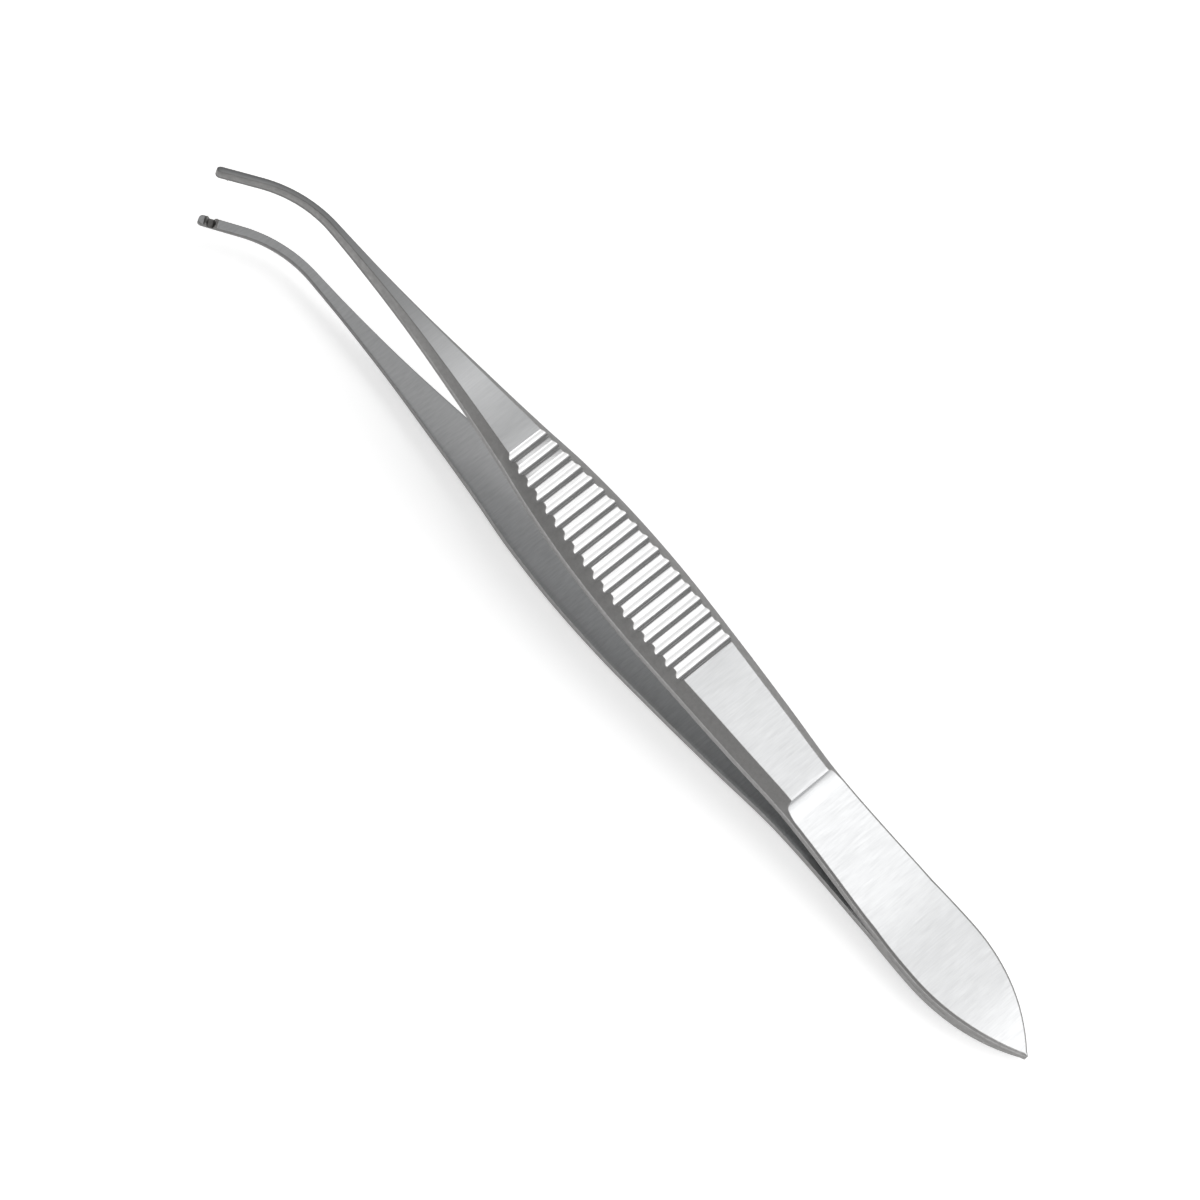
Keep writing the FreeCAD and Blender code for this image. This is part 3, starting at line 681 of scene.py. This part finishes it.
table = bpy.data.materials.new("white_table")
table.use_nodes = True
tree = table.node_tree
paint = tree.nodes["Principled BSDF"]
paint.inputs["Base Color"].default_value = (PAINT_WHITE, PAINT_WHITE, PAINT_WHITE, 1)
paint.inputs["Roughness"].default_value = PAINT_ROUGHNESS
paint.inputs["Specular IOR Level"].default_value = 0.0
paint.inputs["Emission Color"].default_value = (1, 1, 1, 1)
glow = add_node(tree, "ShaderNodeMath", operation="MULTIPLY")
glow.inputs[1].default_value = FLOOR_GLOW
tree.links.new(seen_or_mirrored(tree), glow.inputs[0])
tree.links.new(glow.outputs[0], paint.inputs["Emission Strength"])
floor.data.materials.append(table)
print("floor glow:", FLOOR_GLOW)

# %% [markdown]
# ## Light
# One large softbox hangs high beside the tail and throws the pale shadow to the other side.
# The room is a soft gradient, white beyond the tail and grey beyond the tips, so that the
# walls of the grooves that face the tail shine and those that face the tips stay grey.

# %% Softbox and room
SOFTBOX_AT = Vector((-0.13, -0.20, 0.46))
SOFTBOX_SIZE = 0.32
SOFTBOX_WATTS = 0.45
light = bpy.data.lights.new("softbox", "AREA")
light.size = SOFTBOX_SIZE
light.energy = SOFTBOX_WATTS
softbox = bpy.data.objects.new("softbox", light)
bpy.context.scene.collection.objects.link(softbox)
softbox.location = SOFTBOX_AT
softbox.rotation_euler = (-SOFTBOX_AT).to_track_quat("-Z", "Y").to_euler()

BRIGHT_SIDE = Vector((-0.80, -0.25, 0.55)).normalized()
ROOM_STOPS = ((0.0, 0.26), (0.5, 0.38), (0.58, 0.46), (0.7, 0.6), (0.76, 1.2), (1.0, 1.6))
world = bpy.data.worlds.new("studio_room")
bpy.context.scene.world = world
world.use_nodes = True
tree = world.node_tree
background = tree.nodes["Background"]
direction = add_node(tree, "ShaderNodeTexCoord")
toward = add_node(tree, "ShaderNodeVectorMath", operation="DOT_PRODUCT")
toward.inputs[1].default_value = BRIGHT_SIDE
tree.links.new(direction.outputs["Generated"], toward.inputs[0])
ramp = add_node(tree, "ShaderNodeValToRGB")
while len(ramp.color_ramp.elements) < len(ROOM_STOPS):
    ramp.color_ramp.elements.new(0.5)
for element, (place, level) in zip(ramp.color_ramp.elements, ROOM_STOPS):
    element.position = place
    element.color = (level, level, level, 1)
tree.links.new(toward.outputs["Value"], ramp.inputs["Fac"])
white = add_node(tree, "ShaderNodeMix", data_type="RGBA")
white.inputs["B"].default_value = (1, 1, 1, 1)
seen = add_node(tree, "ShaderNodeLightPath")
tree.links.new(seen.outputs["Is Camera Ray"], white.inputs["Factor"])
tree.links.new(ramp.outputs["Color"], white.inputs["A"])
tree.links.new(white.outputs["Result"], background.inputs["Color"])
print("softbox:", SOFTBOX_WATTS, "W, room from", ROOM_STOPS[0][1], "to", ROOM_STOPS[-1][1])

# %% [markdown]
# ## Camera
# The photographer stood well back, so the view is long and almost flat. The camera is set
# from angles measured against the arm's own length, width and height: it leans over the
# arm's curved side and a little towards the tail, and it is rolled so that the tail is low
# on the right.

# %% Camera at the photo's angle
# Lengths are in millimetres in the arm's own frame, before it is laid down.
LEAN = math.radians(23.45)
BACK = math.radians(-6.833)
DISTANCE = 419.76
ROLL = math.radians(-1.082)
FRAME_PIXELS = 1200
FOCAL_PIXELS = 5002.8
AIM = Vector((50, 0, 0))
ASIDE, ABOVE = 2.108, 1.816
SENSOR = 36.0
NEAREST, FARTHEST = 0.01, 20.0
ALONG_IN_PICTURE = Vector((-0.67433, -0.73843))
ACROSS_IN_PICTURE = Vector((-0.73843, 0.67433))

towards = Vector((math.sin(BACK), math.cos(BACK) * math.sin(LEAN), math.cos(BACK) * math.cos(LEAN)))
length = Vector((1, 0, 0))
along = (length - length.dot(towards) * towards).normalized()
across = towards.cross(along)
eye = AIM + DISTANCE * towards + ASIDE * along + ABOVE * across


def in_picture(axis):
    """The picture's x or y axis as a direction in the arm's own frame."""
    by_length, by_width = ALONG_IN_PICTURE[axis], ACROSS_IN_PICTURE[axis]
    return (along * (math.cos(ROLL) * by_length + math.sin(ROLL) * by_width)
            + across * (math.cos(ROLL) * by_width - math.sin(ROLL) * by_length))


rightwards, downwards = in_picture(0), in_picture(1)
turned = tilt.to_3x3()
axes = Matrix((turned @ rightwards, turned @ -downwards, turned @ towards)).transposed()
camera = bpy.data.objects.new("camera", bpy.data.cameras.new("camera"))
bpy.context.scene.collection.objects.link(camera)
camera.matrix_world = Matrix.Translation(turned @ eye * MM + shift) @ axes.to_4x4()
camera.data.sensor_width = SENSOR
camera.data.lens = SENSOR * FOCAL_PIXELS / FRAME_PIXELS
camera.data.clip_start = NEAREST
camera.data.clip_end = FARTHEST
bpy.context.scene.camera = camera
bpy.context.scene.view_settings.view_transform = "Standard"
print("camera at", [round(value, 3) for value in camera.location], "lens", round(camera.data.lens, 1))
